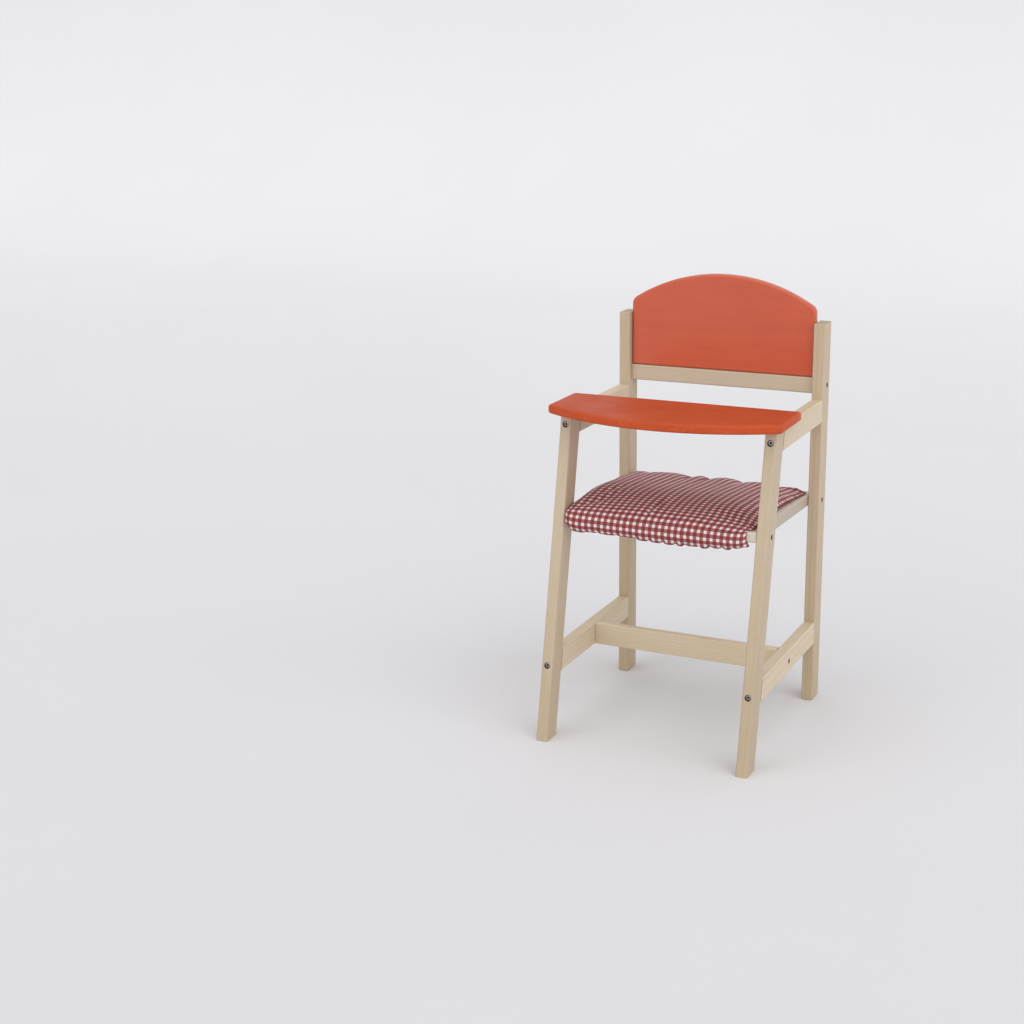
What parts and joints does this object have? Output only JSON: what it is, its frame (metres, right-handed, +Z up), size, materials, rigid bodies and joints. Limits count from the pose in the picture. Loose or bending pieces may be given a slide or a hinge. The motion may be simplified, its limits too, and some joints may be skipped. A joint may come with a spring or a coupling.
{
  "type": "doll high chair",
  "caption": "Wooden doll high chair: plain wood legs, arms and stretchers, a red bowed tray, a red arched back panel and a red and white checked seat cushion that pulls off.",
  "frame": {"origin": "on the floor, under the middle of the chair's width and depth", "axes": "+Z up, -Y is the tray side where the doll looks out, +X is the chair's side that lies on the right when it is seen from the tray side"},
  "size_m": [0.282, 0.28, 0.5263],
  "materials": {
    "beech_wood": "clear satin lacquer",
    "seat_wood": "clear satin lacquer",
    "red_paint": "red stain under satin lacquer",
    "gingham_cotton": "plain woven red and white checks",
    "dark_steel": "dark plated",
    "zinc_steel": "yellow zinc plated",
    "dowel_wood": "bare"
  },
  "bodies": {
    "frame": {"front_leg_left": "beech_wood", "front_leg_right": "beech_wood", "rear_post_left": "beech_wood", "rear_post_right": "beech_wood", "arm_rail_left": "beech_wood", "arm_rail_right": "beech_wood", "side_stretcher_left": "beech_wood", "side_stretcher_right": "beech_wood", "crossbar": "beech_wood", "back_rail": "seat_wood", "back_panel": "red_paint", "tray": "red_paint", "seat_board": "seat_wood", "arm_bolt_front_left": "dark_steel", "arm_bolt_front_right": "dark_steel", "arm_bolt_rear_left": "dark_steel", "arm_bolt_rear_right": "dark_steel", "stretcher_bolt_front_left": "dark_steel", "stretcher_bolt_front_right": "dark_steel", "stretcher_bolt_rear_left": "dark_steel", "stretcher_bolt_rear_right": "dark_steel", "seat_screw_front_left": "zinc_steel", "seat_screw_front_right": "zinc_steel", "seat_screw_rear_left": "zinc_steel", "seat_screw_rear_right": "zinc_steel", "back_rail_screw_left": "zinc_steel", "back_rail_screw_right": "zinc_steel", "crossbar_screw_left": "zinc_steel", "crossbar_screw_right": "zinc_steel", "tray_dowel_front_left": "dowel_wood", "tray_dowel_front_right": "dowel_wood", "tray_dowel_rear_left": "dowel_wood", "tray_dowel_rear_right": "dowel_wood", "panel_side_dowel_left": "dowel_wood", "panel_side_dowel_right": "dowel_wood", "panel_base_dowel_left": "dowel_wood", "panel_base_dowel_right": "dowel_wood"},
    "cushion": {"seat_cushion": "gingham_cotton"}
  },
  "joints": [
    {"name": "cushion_slide", "type": "slide", "parent": "frame", "child": "cushion", "axis": [0, -0.9994, 0.0359], "range_m": [0, 0.05]}
  ]
}
